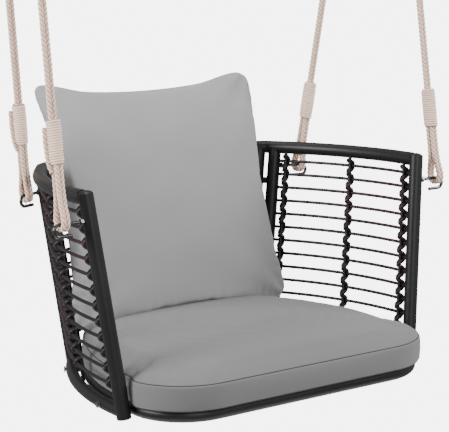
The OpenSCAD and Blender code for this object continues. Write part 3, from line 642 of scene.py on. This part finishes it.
def buildHangers():
    for end, key in (("Front", "front"), ("Rear", "rear")):
        place, span = hangerPlace(end)
        for side, sign in sides.items():
            body = f"hanger_{key}_{side}"
            ropeBundle, route = buildRope(end, place)
            for what, bundle, spot, slot in (
                    ("rope", ropeBundle, Matrix.Identity(4), "rope"),
                    ("eyes", buildEyes(end, span), place, "rope"),
                    ("whippings", buildWhippings(span, 2.0 * sign + len(end)), place, "twine")):
                mesh = bundle.mesh(f"{what}_{key}_{side}_laid")
                setDown(mesh, spot, sign < 0)
                piece = pieceFrom(f"laid_{what}_{key}_{side}", mesh, finishes[slot], body, slot)
                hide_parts(f"{what}_{key}_{side}")
            path = [(p.x * sign, p.y, p.z) for p in smoothLine(route, hanger["pathStep"])]
            long = sum((Vector(b) - Vector(a)).length for a, b in zip(path, path[1:]))
            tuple(path[0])
        print("hangers made:", key)


buildHangers()


lacing = dict(thicken=0.0031, levels=1, draw=0.80, weld=0.00002)


def looseParts(shell):
    # the vertices of each connected part
    seen, parts = set(), []
    for first in shell.verts:
        if first.index in seen:
            continue
        seen.add(first.index)
        part, edge = [], [first]
        while edge:
            vert = edge.pop()
            part.append(vert)
            for link in vert.link_edges:
                other = link.other_vert(vert)
                if other.index not in seen:
                    seen.add(other.index)
                    edge.append(other)
        parts.append(part)
    return parts


def lineThrough(verts):
    # the straight line x(z), y(z) that fits the points best
    count = len(verts)
    mean = sum((v.co for v in verts), Vector()) / count
    spread = sum((v.co.z - mean.z) ** 2 for v in verts)
    slope = sum(((v.co - mean) * (v.co.z - mean.z) for v in verts), Vector()) / spread
    return lambda z: mean + slope * (z - mean.z)


def drawnIn(shell):
    # the two strands on each upright are pulled tight round it
    for part in looseParts(shell):
        axis = lineThrough(part)
        for vert in part:
            centre = axis(vert.co.z)
            vert.co = centre + (vert.co - centre) * lacing["draw"]


def roundLacing():
    for name in ("lacing_left", "lacing_right", "back_lacing"):
        mesh = bpy.data.objects[name].data.copy()
        shell = bmesh.new()
        shell.from_mesh(mesh)
        bmesh.ops.remove_doubles(shell, verts=shell.verts, dist=lacing["weld"])
        bmesh.ops.recalc_face_normals(shell, faces=shell.faces)
        drawnIn(shell)
        shell.normal_update()
        for v in shell.verts:
            v.co += v.normal * lacing["thicken"]
        shell.to_mesh(mesh)
        shell.free()
        piece = pieceFrom(name + "_reed", mesh, finishes["reed"], "seat", "reed")
        modifier = piece.modifiers.new("round", "SUBSURF")
        modifier.levels = modifier.render_levels = lacing["levels"]
        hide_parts(name)


roundLacing()
print("lacing rounded")


def settle(piece, pins, pressure, frames, cap, tension=15.0, bending=0.6):
    # the cloth swells for a few frames, and no point moves further than the cap
    scene = bpy.context.scene
    group = piece.vertex_groups.new(name="held")
    for index, weight in pins.items():
        group.add([index], weight, "REPLACE")
    start = [v.co.copy() for v in piece.data.vertices]
    modifier = piece.modifiers.new("cloth", "CLOTH")
    cloth = modifier.settings
    cloth.quality = 8
    cloth.mass = 0.3
    cloth.tension_stiffness = cloth.compression_stiffness = tension
    cloth.shear_stiffness = tension / 3
    cloth.bending_stiffness = bending
    cloth.air_damping = 2
    cloth.use_pressure = True
    cloth.uniform_pressure_force = pressure
    cloth.effector_weights.gravity = 0
    if pins:
        cloth.vertex_group_mass = "held"
    modifier.collision_settings.use_collision = False
    modifier.point_cache.frame_start = 1
    modifier.point_cache.frame_end = frames
    for frameNow in range(1, frames + 1):
        scene.frame_set(frameNow)
    swollen = bpy.data.meshes.new_from_object(piece.evaluated_get(bpy.context.evaluated_depsgraph_get()))
    piece.modifiers.remove(modifier)
    for v, was, now in zip(piece.data.vertices, start, swollen.vertices):
        move = now.co - was
        v.co = was + (move if move.length <= cap else move * (cap / move.length))
    bpy.data.meshes.remove(swollen)
    scene.frame_set(1)
    piece.data.update()


pillow = dict(
    size=0.484, flat=0.490, thick=0.108, footY=0.1402, footZ=0.074, lean=14.3, cells=88,
    sideWaist=0.015, topWaist=0.020, footWaist=0.003, topDrop=0.016, topShift=0.008,
    startBulge=0.046, fullness=0.66, blunt=0.016, bluntPower=14, wrap=0.010, fold=0.036, foldAt=0.3,
    pressure=3.0, frames=14, cap=0.012,
    pucker=0.0062, puckerReach=0.020, puckerWidth=0.012, puckerFade=0.004,
    fan=0.0042, fanReach=0.095, fanFade=0.03, fanCount=9, slack=0.0045,
)


def pillowCreases(u, v, side):
    # depth of the creases: puckers along the seams, fans at the corners and a slack surface between
    half = pillow["size"] / 2
    depth = 0.0
    for along, off, gain in ((u, 1 + v, 1.0), (u, 1 - v, 0.45), (v, 1 - abs(u), 0.6)):
        away = off * half
        wave = noise.noise(Vector((along * half / pillow["puckerWidth"], side * 3.1, gain * 7)))
        near = math.exp(-away / pillow["puckerReach"]) * wave * min(1, away / pillow["puckerFade"])
        depth += gain * pillow["pucker"] * near
    for cornerU in (-1, 1):
        for cornerV in (-1, 1):
            du, dv = (u - cornerU) * half, (v - cornerV) * half
            away = math.hypot(du, dv)
            turn = math.atan2(abs(dv), abs(du))
            wave = math.cos(pillow["fanCount"] * turn + 2.0 * cornerU + cornerV + side)
            near = math.exp(-away / pillow["fanReach"]) * min(1, away / pillow["fanFade"])
            depth += pillow["fan"] * wave * near
    slack = noise.noise(Vector((u * 1.7, v * 1.4, side * 5 + 1.3))) + 0.5 * noise.noise(
        Vector((u * 4.1, v * 3.2, side * 5 + 7.9)))
    return depth + pillow["slack"] * slack * (1 - u * u) * (1 - v * v)


def buildPillow():
    n, flat = pillow["cells"], pillow["flat"] / 2
    verts, faces, index, spots = [], [], {}, []
    for side in (-1, 1):
        for i in range(n + 1):
            for j in range(n + 1):
                u, v = 2 * i / n - 1, 2 * j / n - 1
                edge = i in (0, n) or j in (0, n)
                if edge and side > 0:
                    index[side, i, j] = index[-1, i, j]
                    continue
                index[side, i, j] = len(verts)
                swell = pillow["startBulge"] * ((1 - u ** 2) * (1 - v ** 2)) ** pillow["fullness"]
                corner = flat - pillow["blunt"] * abs(u * v) ** pillow["bluntPower"]
                endWaist = pillow["topWaist" if v > 0 else "footWaist"]
                across = u * (corner - pillow["sideWaist"] * (1 - v * v))
                along = v * (corner - endWaist * (1 - u * u))
                verts.append((across, side * swell, along))
                spots.append((u, v, 0 if edge else side))
    for side in (-1, 1):
        for i in range(n):
            for j in range(n):
                corners = ((i, j), (i + 1, j), (i + 1, j + 1), (i, j + 1))
                quad = tuple(index[side, a, b] for a, b in corners)
                faces.append(quad if side < 0 else tuple(reversed(quad)))
    mesh = bpy.data.meshes.new("pillow_cover")
    mesh.from_pydata(verts, [], faces)
    piece = pieceFrom("pillow_cover", mesh, finishes["pillow_cloth"], "seat", "pillow_cloth")
    settle(piece, {}, pillow["pressure"], pillow["frames"], pillow["cap"])
    fitInside(mesh, (pillow["size"], pillow["thick"], pillow["size"]))
    for vertex, (u, v, side) in zip(mesh.vertices, spots):
        over = max(0, v - pillow["foldAt"]) / (1 - pillow["foldAt"])
        fold = pillow["fold"] * over ** 2
        vertex.co.x += pillow["topShift"] * over
        vertex.co.z -= pillow["topDrop"] * (1 + v) / 2
        vertex.co.y += fold - pillow["wrap"] * u * u + side * (pillowCreases(u, v, side) if side else 0)
    lean = Matrix.Rotation(math.radians(-pillow["lean"]), 4, "X")
    foot = Matrix.Translation(seatOrigin + Vector((0, pillow["footY"], pillow["footZ"])))
    mesh.transform(foot @ lean @ Matrix.Translation((0, 0, pillow["size"] / 2)))
    modifier = piece.modifiers.new("fine", "SUBSURF")
    modifier.levels = modifier.render_levels = 1
    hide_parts("back_pillow")


def fitInside(mesh, size):
    low = [min(v.co[k] for v in mesh.vertices) for k in range(3)]
    high = [max(v.co[k] for v in mesh.vertices) for k in range(3)]
    for v in mesh.vertices:
        v.co = [(v.co[k] - (low[k] + high[k]) / 2) * size[k] / (high[k] - low[k])
                for k in range(3)]
    print("swelled to", [round(high[k] - low[k], 3) for k in range(3)])


cushion = dict(
    count=260, baseZ=0.0259, lowSeamZ=0.0232, highSeamZ=0.0665,
    bandShares=(0, 0.035, 0.1, 0.22, 0.4, 0.6, 0.78, 0.9, 0.965, 1), bandBulge=0.0022, seamSink=0.0020,
    lipWidth=0.013, topZ=0.0975, crownRadius=3.9, outlineZ=0.05,
    frontOver=0.012, frontY=-0.172, frontRun=0.03, drawFrom=0.06, drawTo=0.235,
    baseInsets=(0.225, 0.18, 0.12, 0.06, 0.03, 0.014),
    topInsets=(0.002, 0.005, 0.009, 0.014, 0.020, 0.028, 0.037, 0.048, 0.060, 0.078, 0.098, 0.12,
               0.145, 0.17, 0.195, 0.216, 0.23),
    pressure=2.0, frames=12, cap=0.003, seamShadeRadius=0.0010, seamShadeOut=0.0002,
)


def outlineOf(nodeName, height):
    # the node's outline where a level plane cuts it, as points an even step apart
    shell = bmesh.new()
    shell.from_mesh(bpy.data.objects[nodeName].data)
    bmesh.ops.remove_doubles(shell, verts=shell.verts, dist=0.00002)
    cut = bmesh.ops.bisect_plane(shell, geom=shell.verts[:] + shell.edges[:] + shell.faces[:],
                                 plane_co=(0, 0, height), plane_no=(0, 0, 1))["geom_cut"]
    points = [Vector((v.co.x, v.co.y, 0)) for v in cut if isinstance(v, bmesh.types.BMVert)]
    shell.free()
    middle = sum(points, Vector()) / len(points)
    points.sort(key=lambda p: math.atan2(p.y - middle.y, p.x - middle.x))
    return evenLine([*points, points[0]], sum(
        (b - a).length for a, b in zip(points, [*points[1:], points[0]])) / cushion["count"])[:-1]


def buildCushion():
    outline = outlineOf("seat_cushion", seatOrigin.z + cushion["outlineZ"])
    count = len(outline)
    middle = Vector((0, (min(p.y for p in outline) + max(p.y for p in outline)) / 2, 0))
    normals = []
    for k, p in enumerate(outline):
        along = outline[(k + 2) % count] - outline[k - 2]
        normals.append(Vector((along.y, -along.x, 0)).normalized())

    # ahead of the front posts the cushion swells out over the ring
    def over(p):
        return cushion["frontOver"] * min(1, max(0, (cushion["frontY"] - p.y) / cushion["frontRun"]))

    outline = [p + normal * over(p) for p, normal in zip(outline, normals)]

    def ring(inset, z, out=0.0):
        # far from the edge the rings draw in towards the middle
        made = []
        near, far = cushion["drawFrom"], cushion["drawTo"]
        for p, normal in zip(outline, normals):
            q = p - normal * min(inset, near)
            if inset > near:
                q = q.lerp(middle, (inset - near) / (far - near))
            made.append(q + normal * out + Vector((0, 0, z)))
        return made

    c = cushion
    rings = [ring(i, c["baseZ"]) for i in c["baseInsets"]]
    for t in c["bandShares"]:
        swell = c["bandBulge"] * math.sin(math.pi * t) ** 0.45 - (c["seamSink"] if t in (0, 1) else 0)
        rings.append(ring(0, c["lowSeamZ"] + t * (c["highSeamZ"] - c["lowSeamZ"]), swell))
    lowSeam = len(c["baseInsets"])
    seams = (lowSeam, lowSeam + len(c["bandShares"]) - 1)
    for inset in c["topInsets"]:
        lip = 1 - math.exp(-inset / c["lipWidth"])
        flat = ring(inset, 0)
        rings.append([q + Vector((0, 0, c["highSeamZ"] + lip * (
            c["topZ"] - (q - middle).xy.length_squared / (2 * c["crownRadius"]) - c["highSeamZ"])))
            for q in flat])
    verts = [p for r in rings for p in r]
    faces = []
    for k in range(len(rings) - 1):
        for j in range(count):
            a, b = k * count + j, k * count + (j + 1) % count
            faces.append((a, b, b + count, a + count))
    for ends, flip in ((0, True), (len(rings) - 1, False)):
        hub = len(verts)
        ringNow = rings[ends]
        verts.append(sum(ringNow, Vector()) / count)
        for j in range(count):
            a, b = ends * count + j, ends * count + (j + 1) % count
            faces.append((b, a, hub) if flip else (a, b, hub))
    mesh = bpy.data.meshes.new("seat_cover")
    mesh.from_pydata([(v.x, v.y, v.z + seatOrigin.z) for v in verts], [], faces)
    piece = pieceFrom("seat_cover", mesh, finishes["seat_cloth"], "seat", "seat_cloth")
    pins = {k: 1.0 for k in range(lowSeam * count)}
    for s in seams:
        pins.update({s * count + j: 1.0 for j in range(count)})
    pins[len(rings) * count] = 1.0
    settle(piece, pins, c["pressure"], c["frames"], c["cap"])
    modifier = piece.modifiers.new("fine", "SUBSURF")
    modifier.levels = modifier.render_levels = 1
    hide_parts("seat_cushion")
    lines = [[v.co.copy() for v in mesh.vertices[s * count:(s + 1) * count]] for s in seams]
    return lines, normals


def drawSeamGrooveShade(lines, normals):
    # a thin near-black tube sunk along the cushion's two seams: painted shade standing in for the seam
    # grooves
    bundle = Bundle()
    for line in lines:
        run = [p + normal * cushion["seamShadeOut"] for p, normal in zip(line, normals)]
        bundle.tube([*run, run[0]], cushion["seamShadeRadius"], 6, Vector((0, 0, 1)), lambda k, point: 1.0)
    mesh = bundle.mesh("seat_seam_groove_shade")
    pieceFrom("seat_seam_thread", mesh, seamGrooveShadeMaterial, "seat", "seat_cloth")


buildPillow()
drawSeamGrooveShade(*buildCushion())
print("cushions made")
